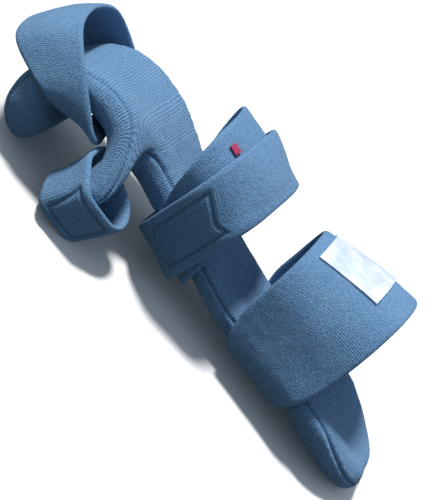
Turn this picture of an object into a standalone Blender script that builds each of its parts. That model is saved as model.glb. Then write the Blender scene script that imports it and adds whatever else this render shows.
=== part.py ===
"""A right-hand resting hand splint: a padded board with a thumb flap, and its wrap straps.

The board lies along X, with its elbow end at +X, its finger end at -X and its thumb side at -Y.
The splint rests palm side down on the plane Z = 0, with its origin at the bottom centre of its box.
Everything is built with the elbow end level and its underside near Z = 0, and is then turned onto
the three places that it rests on.
"""

import math
from collections import namedtuple

import bmesh
import bpy
import numpy as np
from mathutils import Matrix, Vector
from mathutils.bvhtree import BVHTree

MM = 0.001

# The padded board: lengths along its middle line, from the elbow end to the fingertips
BOARD_LENGTH = 286 * MM
FOREARM_RUN = 0.160 * BOARD_LENGTH
WRIST_RUN = 0.217 * BOARD_LENGTH
PALM_RUN = 0.353 * BOARD_LENGTH
KNUCKLE_RUN = 0.115 * BOARD_LENGTH
CURL_RUN = 0.155 * BOARD_LENGTH
WRIST_RISE = math.radians(15)
PALM_RISE = math.radians(0)
KNUCKLE_DROP = math.radians(-32)
FINGER_CURL = math.radians(-132)
PAD_THICK = 20 * MM
PAD_HALF_WIDTH = 44 * MM
TROUGH_DEPTH = 20 * MM

# The thumb flap, which hangs from the board's thumb-side wing
FLAP_LENGTH = 50 * MM
FLAP_WIDTH = 19 * MM
FLAP_THICK = 13 * MM

# The hollow that the straps go round: half widths and heights of ovals on top of the board
FOREARM_HALF_WIDTH = 35 * MM
FOREARM_HEIGHT = 67 * MM
WRIST_HALF_WIDTH = 28 * MM
WRIST_HEIGHT = 47 * MM
HAND_HALF_WIDTH = 38 * MM
HAND_HEIGHT = 33 * MM
FINGER_HALF_WIDTH = 36 * MM
FINGER_HEIGHT = 20 * MM
THUMB_WIDTH = 18 * MM
THUMB_HEIGHT = 16 * MM

# The straps. Places are distances from the elbow end along the board's middle line; a tilt leans
# the top of a strap towards the finger end, and a yaw turns its thumb side towards the elbow end.
# Shares are widths on top, at the sides and underneath, of the strap's width.
STRAP_THICK = 3.2 * MM
STRAP_GAP = 0.4 * MM
STRAP_SLACK = 1.0 * MM
UNDER_STRAP_SLACK = 0.3 * MM
FINGER_STRAP_SLACK = 1.0 * MM
STRAP_STRETCH = 6 * MM
FOREARM_STRAP_WIDTH = 50 * MM
FOREARM_STRAP_PLACE = 0.278 * BOARD_LENGTH
FOREARM_STRAP_TILT = math.radians(8)
FOREARM_STRAP_SHARES = (1.14, 1.10, 0.52)
HAND_STRAP_WIDTH = 31 * MM
UNDER_STRAP_SHARES = (1.0, 1.22, 1.05)
HAND_STRAP_PLACE = 0.545 * BOARD_LENGTH
OVER_STRAP_TILT = math.radians(9)
UNDER_STRAP_TILT = math.radians(27)
UNDER_STRAP_YAW = math.radians(4)
FINGER_STRAP_WIDTH = 40 * MM
FINGER_STRAP_PLACE = 0.853 * BOARD_LENGTH
FINGER_STRAP_HEADING = math.radians(-72)
FINGER_STRAP_FAN = math.radians(13)
FINGER_STRAP_SHARES = (0.98, 1.12, 0.60)
FINGER_STRAP_YAW = math.radians(2)
THUMB_STRAP_WIDTH = 29 * MM

# The label and the tab
LABEL_LENGTH = 36 * MM
LABEL_WRAP = 52 * MM
LABEL_SHIFT = -5 * MM
LABEL_FORWARD = 4.5 * MM
LABEL_THICK = 0.8 * MM
TAB_WIDTH = 5 * MM
TAB_REACH = 5 * MM
TAB_THICK = 1.0 * MM
TAB_PLACE = 0.115

# How far the cloth is pressed flat where the splint rests
REST_PRESS = 1.2 * MM

# Fineness of the meshes
STRAP_STEPS = 40

COLOURS = {
    "terry_blue": (0.16, 0.30, 0.46),
    "label_satin": (0.62, 0.66, 0.86),
    "tag_red": (0.45, 0.05, 0.10),
}

SPINE_RUNS = (
    (FOREARM_RUN, 0.0),
    (WRIST_RUN, WRIST_RISE),
    (PALM_RUN, PALM_RISE),
    (KNUCKLE_RUN, KNUCKLE_DROP),
    (CURL_RUN, FINGER_CURL),
)

# Sections of the board. run and share say where on the middle line each lies; thumb and little are
# the half widths on the two sides and thick the thickness, as shares of the pad's; rim is the
# height of the edges above the middle, as a share of the trough's depth; rise is how far the
# section is pressed up by a strap, as a share of the pad's thickness.
Section = namedtuple("Section", "run share thumb little thick rim rise")
SECTIONS = (
    Section(0, 0.02, 0.30, 0.30, 0.60, 0.10, 0.00),
    Section(0, 0.18, 0.58, 0.62, 0.85, 0.38, 0.00),
    Section(0, 0.50, 0.84, 0.88, 0.92, 0.75, 0.00),
    Section(0, 0.90, 1.00, 1.00, 0.96, 1.00, 0.01),
    Section(1, 0.16, 0.88, 0.92, 0.64, 0.95, 0.17),
    Section(1, 0.62, 0.70, 0.86, 0.60, 0.82, 0.17),
    Section(1, 0.94, 0.58, 0.84, 0.88, 0.68, 0.02),
    Section(2, 0.16, 0.54, 0.84, 0.92, 0.52, 0.00),
    Section(2, 0.36, 0.48, 0.84, 0.84, 0.42, 0.00),
    Section(2, 0.66, 0.45, 0.88, 0.96, 0.35, -0.03),
    Section(2, 0.88, 0.58, 1.00, 1.05, 0.35, 0.00),
    Section(2, 0.98, 0.82, 1.02, 1.10, 0.40, 0.00),
    Section(3, 0.14, 1.04, 1.04, 1.10, 0.42, 0.00),
    Section(3, 0.62, 1.04, 1.04, 1.02, 0.44, 0.03),
    Section(4, 0.05, 1.00, 1.02, 0.96, 0.35, 0.08),
    Section(4, 0.38, 0.98, 0.98, 1.06, 0.25, 0.09),
    Section(4, 0.70, 0.94, 0.92, 1.30, 0.12, 0.03),
    Section(4, 0.95, 0.84, 0.82, 1.35, 0.05, 0.00),
    Section(4, 1.12, 0.60, 0.58, 0.90, 0.00, 0.00),
)
FLAP_ROOT = range(10, 13)
FLAP_NEAR_SIDE = (0.35, -0.84, -0.40)
COLUMNS = (-0.32, 0.32)
EDGE_INSET = 0.42


def clear_scene():
    for item in list(bpy.data.objects):
        bpy.data.objects.remove(item)


def paint(name, roughness=0.9):
    material = bpy.data.materials.get(name) or bpy.data.materials.new(name)
    material.use_nodes = True
    shader = material.node_tree.nodes["Principled BSDF"]
    shader.inputs["Base Color"].default_value = (*COLOURS[name], 1.0)
    shader.inputs["Roughness"].default_value = roughness
    shader.inputs["Metallic"].default_value = 0.0
    return material


def spine_at(run, share):
    """Middle point, heading angle above -X, on the board's middle line."""
    x, z, angle = 0.0, PAD_THICK / 2, 0.0
    for index, (length, turn) in enumerate(SPINE_RUNS):
        part = share if index == run else 1.0
        go, swing = length * part, turn * part
        if abs(turn) < 1e-6:
            x -= go * math.cos(angle)
            z += go * math.sin(angle)
        else:
            radius = length / turn
            x -= radius * (math.sin(angle + swing) - math.sin(angle))
            z += radius * (math.cos(angle) - math.cos(angle + swing))
        angle += swing
        if index == run:
            break
    return Vector((x, 0, z)), angle


def spine_along(distance):
    for index, (length, _) in enumerate(SPINE_RUNS):
        if distance <= length or index == len(SPINE_RUNS) - 1:
            return spine_at(index, distance / length)
        distance -= length


def section_outline(row):
    """(sideways, upward) points round the board's section, from the thumb edge over the top."""
    thick = PAD_THICK * row.thick
    thumb, little = PAD_HALF_WIDTH * row.thumb, PAD_HALF_WIDTH * row.little
    bend = 2 * TROUGH_DEPTH * row.rim / (PAD_HALF_WIDTH**2) + 1e-6
    inset = EDGE_INSET * min(thick, 2 * PAD_THICK)
    grow = inset / 3
    sides = [-(thumb - inset + grow)]
    sides += [share * (thumb if share < 0 else little) for share in COLUMNS]
    sides += [little - inset + grow]
    rise = PAD_THICK * row.rise
    top = [(side, rise + thick / 2) for side in sides]
    bottom = [(side, rise - thick / 2) for side in reversed(sides)]
    flat = [(-thumb - grow, rise), *top, (little + grow, rise), *bottom]
    return [
        (
            math.sin(bend * side) / bend - up * math.sin(bend * side),
            (1 - math.cos(bend * side)) / bend + up * math.cos(bend * side),
        )
        for side, up in flat
    ]


def frame_point(middle, angle, sideways, upward):
    return middle + Vector(
        (upward * math.sin(angle), sideways, upward * math.cos(angle))
    )


def board_cage():
    """The board as rings of corners, with its two ends closed by strips of quads."""
    cage = bmesh.new()
    cage.verts.layers.float.new("across")
    cage.verts.layers.float.new("level")
    rings = []
    for row in SECTIONS:
        middle, angle = spine_at(row.run, row.share)
        rings.append(
            [
                cage.verts.new(frame_point(middle, angle, *point))
                for point in section_outline(row)
            ]
        )
    count = len(rings[0])
    for near, far in zip(rings, rings[1:]):
        for i in range(count):
            j = (i + 1) % count
            cage.faces.new((near[i], near[j], far[j], far[i]))
    for ring, flip in ((rings[0], True), (rings[-1], False)):
        half = count // 2
        strips = [(ring[0], ring[1], ring[count - 1])]
        strips += [
            (ring[i], ring[i + 1], ring[count - i - 1], ring[count - i])
            for i in range(1, half - 1)
        ]
        strips += [(ring[half - 1], ring[half], ring[half + 1])]
        for corners in strips:
            cage.faces.new(corners[::-1] if flip else corners)
    return cage, rings


def add_flap(cage, rings):
    """Draws the thumb flap out of the edge faces of the wing, down and forward in a C."""
    root = [rings[i] for i in FLAP_ROOT]
    across = cage.verts.layers.float["across"]
    level = cage.verts.layers.float["level"]
    for place, ring in enumerate(root):
        share = 2 * place / (len(root) - 1) - 1
        for index, height in ((0, 0.0), (1, 1.0), (len(ring) - 1, -1.0)):
            ring[index][across] = share
            ring[index][level] = height
    patch = []
    for near, far in zip(root, root[1:]):
        for i, j in ((0, 1), (len(near) - 1, 0)):
            wanted = {near[i], near[j], far[i], far[j]}
            patch += [face for face in near[i].link_faces if set(face.verts) == wanted]
    middle = sum((v.co for face in patch for v in face.verts), Vector()) / (
        4 * len(patch)
    )
    steps = list(flap_steps(middle))
    for centre, hand_side, width, thick in steps:
        grown = bmesh.ops.extrude_face_region(cage, geom=patch)
        bmesh.ops.delete(cage, geom=patch, context="FACES")
        patch = [g for g in grown["geom"] if isinstance(g, bmesh.types.BMFace)]
        corners = {v for face in patch for v in face.verts}
        near_side = Vector(FLAP_NEAR_SIDE).normalized()
        hand_side = (hand_side - near_side * hand_side.dot(near_side)).normalized()
        for v in corners:
            v.co = (
                centre
                + near_side * (v[across] * width / 2)
                + hand_side * (v[level] * thick / 2)
            )
    return steps


def flap_steps(middle):
    """Centre, hand-side direction, width and thickness of each ring of the flap."""
    Step = namedtuple("Step", "back side down angle width thick")
    steps = (
        Step(0.04, 0.20, 0.20, 55, 1.20, 1.20),
        Step(0.10, 0.28, 0.42, 80, 1.05, 1.00),
        Step(0.00, 0.22, 0.68, 95, 1.00, 0.95),
        Step(-0.13, 0.16, 0.93, 100, 0.95, 0.90),
        Step(-0.17, 0.14, 1.02, 100, 0.55, 0.60),
    )
    for step in steps:
        centre = middle + FLAP_LENGTH * Vector((step.back, -step.side, -step.down))
        turn = math.radians(step.angle)
        hand_side = Vector((math.sin(turn), 0, math.cos(turn)))
        yield centre, hand_side, FLAP_WIDTH * step.width, FLAP_THICK * step.thick


OvalRow = namedtuple("OvalRow", "run share half_width height")
HOLLOW = (
    OvalRow(0, 0.00, 1.03 * FOREARM_HALF_WIDTH, 0.9 * FOREARM_HEIGHT),
    OvalRow(1, 0.30, FOREARM_HALF_WIDTH, FOREARM_HEIGHT),
    OvalRow(2, 0.10, WRIST_HALF_WIDTH, WRIST_HEIGHT),
    OvalRow(2, 0.50, 0.55 * (WRIST_HALF_WIDTH + HAND_HALF_WIDTH), 0.5 * (WRIST_HEIGHT + HAND_HEIGHT)),
    OvalRow(2, 0.95, HAND_HALF_WIDTH, HAND_HEIGHT),
    OvalRow(3, 0.60, HAND_HALF_WIDTH, 0.5 * (HAND_HEIGHT + FINGER_HEIGHT)),
    OvalRow(4, 0.10, FINGER_HALF_WIDTH, 1.10 * FINGER_HEIGHT),
    OvalRow(4, 0.30, FINGER_HALF_WIDTH, FINGER_HEIGHT),
    OvalRow(4, 0.50, 0.97 * FINGER_HALF_WIDTH, FINGER_HEIGHT),
    OvalRow(4, 0.70, 0.94 * FINGER_HALF_WIDTH, 0.9 * FINGER_HEIGHT),
    OvalRow(4, 0.90, 0.9 * FINGER_HALF_WIDTH, 0.9 * FINGER_HEIGHT),
)


def tube_mesh(rings):
    """A closed tube through rings of points."""
    tube = bmesh.new()
    loops = [[tube.verts.new(point) for point in ring] for ring in rings]
    count = len(loops[0])
    for near, far in zip(loops, loops[1:]):
        for i in range(count):
            j = (i + 1) % count
            tube.faces.new((near[i], near[j], far[j], far[i]))
    tube.faces.new(loops[0][::-1])
    tube.faces.new(loops[-1])
    bmesh.ops.recalc_face_normals(tube, faces=tube.faces)
    return tube


def oval(half_width, height):
    for i in range(24):
        turn = 2 * math.pi * i / 24
        yield half_width * math.cos(turn), height / 2 * math.sin(turn)


def hollow_solid():
    """The hollow over the board as one tube: a guide for the straps."""
    rings = []
    for row in HOLLOW:
        middle, angle = spine_at(row.run, row.share)
        lift = PAD_THICK / 2 + row.height / 2
        rings.append(
            [
                frame_point(middle, angle, side, lift + up)
                for side, up in oval(row.half_width, row.height)
            ]
        )
    return tube_mesh(rings)


def thumb_hollow_solid(steps):
    """The hollow along the upper side of the flap as one tube: a guide for the thumb strap."""
    rings = []
    for centre, hand_side, _, thick in steps:
        near_side = Vector(FLAP_NEAR_SIDE).normalized()
        hand_side = (hand_side - near_side * hand_side.dot(near_side)).normalized()
        lift = thick / 2 + THUMB_HEIGHT / 2
        rings.append(
            [
                centre + near_side * side + hand_side * (lift + up)
                for side, up in oval(THUMB_WIDTH / 2, THUMB_HEIGHT)
            ]
        )
    return tube_mesh(rings)


Plane = namedtuple("Plane", "point normal across up reach")


def slice_points(solids, plane, spread):
    """Points of the solids in and near a plane, as (across, up) pairs."""
    points = []
    for solid in solids:
        for shift in (-spread, -spread / 2, 0.0, spread / 2, spread):
            cut = solid.copy()
            place = plane.point + plane.normal * shift
            found = bmesh.ops.bisect_plane(
                cut,
                geom=cut.verts[:] + cut.edges[:] + cut.faces[:],
                plane_co=place,
                plane_no=plane.normal,
            )
            for item in found["geom_cut"]:
                if isinstance(item, bmesh.types.BMVert):
                    away = item.co - plane.point
                    pair = (away.dot(plane.across), away.dot(plane.up))
                    if abs(pair[0]) < plane.reach[0] and -plane.reach[1] < pair[1] < plane.reach[2]:
                        points.append(pair)
            cut.free()
    return np.array(points)


def wrap_loop(points, lift, count):
    """A taut loop round the points, at a distance from them, from the top towards the thumb side."""
    turns = math.pi / 2 + np.linspace(0, 2 * math.pi, 241)
    ways = np.stack([np.cos(turns), np.sin(turns)], axis=1)
    outer = points[np.argmax(points @ ways.T, axis=0)] + lift * ways
    start = int(np.argmax(outer[:-1, 1] - 0.02 * np.abs(outer[:-1, 0])))
    outer = np.concatenate([outer[start:-1], outer[: start + 1]])
    steps = np.linalg.norm(np.diff(outer, axis=0), axis=1)
    run = np.concatenate([[0.0], np.cumsum(steps)])
    even = np.linspace(0, run[-1], count, endpoint=False)
    return np.stack([np.interp(even, run, outer[:, i]) for i in (0, 1)], axis=1)


def relax(rails, times):
    """Evens out a (rail, step, axis) grid of points round the loop and between its rails."""
    for _ in range(times):
        rails = 0.5 * rails + 0.25 * (np.roll(rails, 1, axis=1) + np.roll(rails, -1, axis=1))
        middle = 0.5 * rails[2:-2] + 0.25 * (rails[1:-3] + rails[3:-1])
        rails[2:-2] = middle
    return rails


def in_space(plane, pairs):
    return np.array(
        [plane.point + plane.across * a + plane.up * b for a, b in pairs]
    )


RAIL_SHARES = (-1.0, -0.90, -0.36, 0.36, 0.90, 1.0)


def band_grid(solids, planes, lift, shares=(1.0, 1.0, 1.0)):
    """Points of a strap's inner face, rail by rail: an array of (rail, step, axis).

    The shares are the strap's widths on top, at its sides and underneath, of the planes' span.
    """
    spread = STRAP_STRETCH
    loops = []
    for plane in planes:
        points = slice_points(solids, plane, spread)
        loops.append(in_space(plane, wrap_loop(points, lift, STRAP_STEPS)))
    loops = relax(np.array(loops), 1)
    turns = 2 * math.pi * np.arange(STRAP_STEPS) / STRAP_STEPS
    top, side, under = shares
    ends = np.where(np.cos(turns) > 0, top, under)
    swell = side * np.sin(turns) ** 2 + ends * np.cos(turns) ** 2
    grid = np.empty_like(loops)
    for rail, share in enumerate(RAIL_SHARES):
        for step in range(STRAP_STEPS):
            for axis in range(3):
                grid[rail, step, axis] = beyond(
                    share * swell[step], RAIL_SHARES, loops[:, step, axis]
                )
    return grid


def beyond(place, places, values):
    """Linear interpolation that runs on past both ends."""
    index = min(max(int(np.searchsorted(places, place)), 1), len(places) - 1)
    left, right = places[index - 1], places[index]
    if index == 1 and place < left:
        left, right = places[0], places[2]
        return values[0] + (values[2] - values[0]) * (place - left) / (right - left)
    if index == len(places) - 1 and place > right:
        left, right = places[-3], places[-1]
        return values[-1] + (values[-1] - values[-3]) * (place - right) / (right - left)
    return values[index - 1] + (values[index] - values[index - 1]) * (place - left) / (right - left)


def outward(grid):
    """Unit normals of a (rail, step, axis) grid, away from the middle of the loop."""
    along = np.roll(grid, -1, axis=1) - np.roll(grid, 1, axis=1)
    over = np.gradient(grid, axis=0)
    normal = np.cross(along, over)
    normal /= np.linalg.norm(normal, axis=2, keepdims=True)
    middle = grid.mean(axis=(0, 1))
    flip = np.sign(np.sum(normal * (grid - middle), axis=2, keepdims=True).mean())
    return normal * flip


def band_solid(grid, thick):
    """A closed strap on an inner face: flat faces with half-round edges."""
    normal = outward(grid)
    last = len(RAIL_SHARES) - 1
    layers = []
    for i in range(1, last):
        layers.append(grid[i] + normal[i] * thick)
    layers.append(grid[last] + normal[last] * thick / 2)
    for i in range(last - 1, 0, -1):
        layers.append(grid[i])
    layers.append(grid[0] + normal[0] * thick / 2)
    solid = bmesh.new()
    rings = [[solid.verts.new(point) for point in layer] for layer in layers]
    for near, far in zip(rings, rings[1:] + rings[:1]):
        for i in range(len(near)):
            j = (i + 1) % len(near)
            solid.faces.new((near[i], near[j], far[j], far[i]))
    bmesh.ops.recalc_face_normals(solid, faces=solid.faces)
    return solid


def patch_solid(lower, thick, normal):
    """A closed thin patch on an open grid of points."""
    solid = bmesh.new()
    floor = [[solid.verts.new(point) for point in row] for row in lower]
    roof = [[solid.verts.new(point) for point in row] for row in lower + normal * thick]
    rows, columns = len(floor), len(floor[0])
    for i in range(rows - 1):
        for j in range(columns - 1):
            for sheet in (floor, roof):
                solid.faces.new(
                    (sheet[i][j], sheet[i + 1][j], sheet[i + 1][j + 1], sheet[i][j + 1])
                )
    rim = [(0, j) for j in range(columns)] + [(i, columns - 1) for i in range(1, rows)]
    rim += [(rows - 1, j) for j in range(columns - 2, -1, -1)]
    rim += [(i, 0) for i in range(rows - 2, 0, -1)]
    for (i, j), (k, l) in zip(rim, rim[1:] + rim[:1]):
        solid.faces.new((floor[i][j], floor[k][l], roof[k][l], roof[i][j]))
    bmesh.ops.recalc_face_normals(solid, faces=solid.faces)
    return solid


def band_planes(place, width, tilt, reach, yaw=0.0):
    """Parallel planes across the board at the rails of a strap."""
    _, angle = spine_along(place)
    planes = []
    for share in RAIL_SHARES:
        middle, _ = spine_along(place + share * width / 2)
        planes.append(cross_plane(middle, angle - tilt, reach, yaw))
    return planes


def fan_planes(place, width, heading, fan, reach, yaw):
    """Planes that spread like a fan from under the board, for a strap on the bent fingers."""
    span = width - 2 * math.sin(fan) * (PAD_THICK / 2 + FINGER_HEIGHT + STRAP_THICK)
    planes = []
    for share in RAIL_SHARES:
        middle, _ = spine_along(place + share * span / 2)
        planes.append(cross_plane(middle, heading - fan * share, reach, yaw))
    return planes


def cross_plane(middle, angle, reach, yaw=0.0):
    """A plane across the board, whose thumb side is turned towards the elbow by the yaw."""
    forward = Vector((-math.cos(angle), 0, math.sin(angle)))
    up = Vector((math.sin(angle), 0, math.cos(angle)))
    side = Vector((0, 1, 0))
    normal = forward * math.cos(yaw) - side * math.sin(yaw)
    across = side * math.cos(yaw) + forward * math.sin(yaw)
    return Plane(middle, normal, across, up, reach)


def smooth_solid(name, cage, levels):
    """The cage's subdivided surface as a mesh."""
    bmesh.ops.delete(
        cage, geom=[v for v in cage.verts if not v.link_faces], context="VERTS"
    )
    bmesh.ops.recalc_face_normals(cage, faces=cage.faces)
    mesh = bpy.data.meshes.new(name + "_cage")
    cage.to_mesh(mesh)
    cage.free()
    guide = bpy.data.objects.new(name + "_cage", mesh)
    bpy.context.scene.collection.objects.link(guide)
    rounding = guide.modifiers.new("rounding", "SUBSURF")
    rounding.levels = rounding.render_levels = levels
    graph = bpy.context.evaluated_depsgraph_get()
    solid = bpy.data.meshes.new_from_object(guide.evaluated_get(graph))
    bpy.data.objects.remove(guide)
    return solid


def add_node(name, mesh, material):
    mesh.name = name
    node = bpy.data.objects.new(name, mesh)
    bpy.context.scene.collection.objects.link(node)
    mesh.materials.clear()
    mesh.materials.append(paint(material))
    mesh.shade_smooth()
    return node


def surface_patch(grid, thick, steps, shares, lift, sheet):
    """A thin patch over a strap's outer face, between two places round its loop."""
    normal = outward(grid)
    face = grid + normal * (thick + lift)
    first, last = steps
    places = [first, *range(math.ceil(first + 0.2), math.floor(last - 0.2) + 1), last]
    rows = []
    for share in shares:
        row = []
        for place in places:
            low = math.floor(place)
            part = place - low
            ends = []
            for index in (low % STRAP_STEPS, (low + 1) % STRAP_STEPS):
                ends.append(
                    [beyond(share, RAIL_SHARES, face[:, index, axis]) for axis in range(3)]
                )
            row.append((1 - part) * np.array(ends[0]) + part * np.array(ends[1]))
        rows.append(row)
    lower = np.array(rows)
    along = np.gradient(lower, axis=1)
    over = np.gradient(lower, axis=0)
    up = np.cross(along, over)
    up /= np.linalg.norm(up, axis=2, keepdims=True)
    up *= np.sign(np.sum(up * (lower - grid.mean(axis=(0, 1)))))
    return patch_solid(lower, sheet, up)


def label_solid(grid):
    loop = grid.mean(axis=0)
    step = np.linalg.norm(np.roll(loop, -1, axis=0) - loop, axis=1).mean()
    wide = FOREARM_STRAP_WIDTH * FOREARM_STRAP_SHARES[0]
    half, forward = LABEL_LENGTH / wide, 2 * LABEL_FORWARD / wide
    steps = ((LABEL_SHIFT - LABEL_WRAP / 2) / step, (LABEL_SHIFT + LABEL_WRAP / 2) / step)
    shares = [forward + half * share for share in (-1.0, -0.5, 0.5, 1.0)]
    return surface_patch(grid, STRAP_THICK, steps, shares, STRAP_GAP, LABEL_THICK)


def tab_solid(under, over_grid):
    """A small flat tab on the under layer, just clear of the over layer's edge."""
    tree = BVHTree.FromBMesh(under)
    step = TAB_PLACE * STRAP_STEPS
    low = int(step)
    edge = Vector(over_grid[-1, low] + (over_grid[-1, low + 1] - over_grid[-1, low]) * (step - low))
    out = Vector(outward(over_grid)[-1, low])
    forward = Vector(over_grid[-1, low] - over_grid[-2, low]).normalized()
    side = forward.cross(out).normalized()
    lower, normals = [], []
    for reach in (0.0, 0.5, 1.0):
        row, ups = [], []
        for width in (-0.5, 0.0, 0.5):
            start = edge + forward * (1.0 * MM + reach * TAB_REACH) + side * (width * TAB_WIDTH)
            place, up, _, _ = tree.find_nearest(start + out * STRAP_THICK)
            row.append(place + up * STRAP_GAP)
            ups.append(up)
        lower.append(row)
        normals.append(ups)
    return patch_solid(np.array(lower), TAB_THICK, np.array(normals))


def settle(nodes):
    """Turns the whole splint onto the three places that it rests on, and presses them flat."""
    hull = bmesh.new()
    weight, balance = 0.0, Vector()
    for node in nodes:
        for vertex in node.data.vertices:
            hull.verts.new(vertex.co)
        solid = solid_copy(node.data)
        amount = solid.calc_volume()
        bmesh.ops.triangulate(solid, faces=solid.faces)
        for face in solid.faces:
            a, b, c = (v.co for v in face.verts)
            balance += (a + b + c) * (a.dot(b.cross(c)) / 24)
        weight += amount
        solid.free()
    balance /= weight
    made = bmesh.ops.convex_hull(hull, input=hull.verts)
    down, best = Vector((0, 0, -1)), None
    for face in made["geom"]:
        if not isinstance(face, bmesh.types.BMFace):
            continue
        a, b, c = (v.co for v in face.verts)
        normal = (b - a).cross(c - a).normalized()
        if normal.dot(a - balance) < 0:
            normal.negate()
        if normal.dot(down) < 0.7:
            continue
        foot = balance + normal * normal.dot(a - balance)
        turns = [(q - p).cross(foot - p).dot(normal) for p, q in ((a, b), (b, c), (c, a))]
        if min(turns) >= 0 or max(turns) <= 0:
            if best is None or normal.dot(down) > best.dot(down):
                best = normal.copy()
    turn = best.rotation_difference(down).to_matrix().to_4x4()
    for node in nodes:
        node.data.transform(turn)
    low = min(v.co.z for node in nodes for v in node.data.vertices)
    for node in nodes:
        for vertex in node.data.vertices:
            vertex.co.z = max(vertex.co.z - low - REST_PRESS, 0.0)
    corners = [v.co for node in nodes for v in node.data.vertices]
    middle = [(min(v[i] for v in corners) + max(v[i] for v in corners)) / 2 for i in (0, 1)]
    shift = Matrix.Translation((-middle[0], -middle[1], 0))
    for node in nodes:
        node.data.transform(shift)
    return turn, low, middle


def solid_copy(mesh):
    copy = bmesh.new()
    copy.from_mesh(mesh)
    return copy


def solid_node(name, solid, material):
    mesh = bpy.data.meshes.new(name)
    solid.to_mesh(mesh)
    return add_node(name, mesh, material)


def thumb_planes(steps):
    centres = [Vector(step[0]) for step in steps]
    axis = (centres[3] - centres[1]).normalized()
    hand_side = (steps[2][1] - axis * steps[2][1].dot(axis)).normalized()
    middle = (centres[1] + centres[3]) / 2
    across = hand_side.cross(axis).normalized()
    return [
        Plane(
            middle + axis * (share * THUMB_STRAP_WIDTH / 2),
            axis,
            across,
            hand_side,
            (0.8 * FLAP_WIDTH, FLAP_THICK, FLAP_THICK + 1.4 * THUMB_HEIGHT),
        )
        for share in RAIL_SHARES
    ]


def build():
    clear_scene()
    cage, rings = board_cage()
    steps = add_flap(cage, rings)
    board = smooth_solid("padded_board", cage, 2)
    nodes = [add_node("padded_board", board, "terry_blue")]

    lift = STRAP_GAP + STRAP_SLACK
    board = solid_copy(board)
    hollow, thumb_hollow = hollow_solid(), thumb_hollow_solid(steps)
    wide = (1.3 * PAD_HALF_WIDTH, 1.2 * PAD_THICK, 2 * FOREARM_HEIGHT)
    bent = (1.1 * PAD_HALF_WIDTH, 0.95 * PAD_THICK, 2 * FINGER_HEIGHT + PAD_THICK)

    planes = band_planes(
        FOREARM_STRAP_PLACE, FOREARM_STRAP_WIDTH, FOREARM_STRAP_TILT, wide
    )
    forearm = band_grid((board, hollow), planes, lift, FOREARM_STRAP_SHARES)
    nodes.append(solid_node("forearm_strap", band_solid(forearm, STRAP_THICK), "terry_blue"))
    nodes.append(solid_node("label", label_solid(forearm), "label_satin"))

    planes = band_planes(
        HAND_STRAP_PLACE, HAND_STRAP_WIDTH, UNDER_STRAP_TILT, wide, UNDER_STRAP_YAW
    )
    under_grid = band_grid((board, hollow), planes, STRAP_GAP + UNDER_STRAP_SLACK, UNDER_STRAP_SHARES)
    under = band_solid(under_grid, STRAP_THICK)
    nodes.append(solid_node("hand_strap_under", under, "terry_blue"))

    planes = band_planes(HAND_STRAP_PLACE, HAND_STRAP_WIDTH, OVER_STRAP_TILT, wide)
    over = band_grid((board, hollow, under), planes, lift + 3 * STRAP_GAP)
    nodes.append(solid_node("hand_strap_over", band_solid(over, STRAP_THICK), "terry_blue"))
    nodes.append(solid_node("red_tab", tab_solid(under, over), "tag_red"))

    planes = fan_planes(
        FINGER_STRAP_PLACE,
        FINGER_STRAP_WIDTH,
        FINGER_STRAP_HEADING,
        FINGER_STRAP_FAN,
        bent,
        FINGER_STRAP_YAW,
    )
    fingers = band_grid(
        (board, hollow), planes, STRAP_GAP + FINGER_STRAP_SLACK, FINGER_STRAP_SHARES
    )
    nodes.append(solid_node("finger_strap", band_solid(fingers, STRAP_THICK), "terry_blue"))

    grid = band_grid((board, thumb_hollow), thumb_planes(steps), lift)
    nodes.append(solid_node("thumb_strap", band_solid(grid, STRAP_THICK), "terry_blue"))
    return settle(nodes)


PLACED = build()
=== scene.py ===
"""Looks of the resting hand splint: knitted cover with its sewn seam, straps, label and tab.

The soft pieces are drawn again from the part's own sizes, finer than its solids, with the
coordinates that the knit, the seams and the stitches follow.
"""

import math
from collections import namedtuple

import bmesh
import bpy
import numpy as np
from mathutils import Matrix, Vector, noise
from mathutils.bvhtree import BVHTree


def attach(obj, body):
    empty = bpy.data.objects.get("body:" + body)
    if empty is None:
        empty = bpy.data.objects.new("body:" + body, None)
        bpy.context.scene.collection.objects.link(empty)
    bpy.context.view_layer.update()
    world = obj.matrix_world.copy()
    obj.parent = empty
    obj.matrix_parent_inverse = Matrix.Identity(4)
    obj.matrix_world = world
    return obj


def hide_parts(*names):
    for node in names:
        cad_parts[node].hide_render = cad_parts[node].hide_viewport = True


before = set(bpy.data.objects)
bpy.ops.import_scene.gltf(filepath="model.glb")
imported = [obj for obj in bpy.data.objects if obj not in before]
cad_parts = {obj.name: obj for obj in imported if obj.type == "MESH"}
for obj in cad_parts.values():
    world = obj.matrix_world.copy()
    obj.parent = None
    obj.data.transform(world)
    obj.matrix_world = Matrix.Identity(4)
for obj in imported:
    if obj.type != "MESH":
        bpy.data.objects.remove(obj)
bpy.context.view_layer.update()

MM = 0.001

# The padded board: lengths along its middle line, from the elbow end to the fingertips
BOARD_LENGTH = 286 * MM
FOREARM_RUN = 0.160 * BOARD_LENGTH
WRIST_RUN = 0.217 * BOARD_LENGTH
PALM_RUN = 0.353 * BOARD_LENGTH
KNUCKLE_RUN = 0.115 * BOARD_LENGTH
CURL_RUN = 0.155 * BOARD_LENGTH
WRIST_RISE = math.radians(15)
PALM_RISE = math.radians(0)
KNUCKLE_DROP = math.radians(-32)
FINGER_CURL = math.radians(-132)
PAD_THICK = 20 * MM
PAD_HALF_WIDTH = 44 * MM
TROUGH_DEPTH = 20 * MM

# The thumb flap, which hangs from the board's thumb-side wing
FLAP_LENGTH = 50 * MM
FLAP_WIDTH = 19 * MM
FLAP_THICK = 13 * MM

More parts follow.
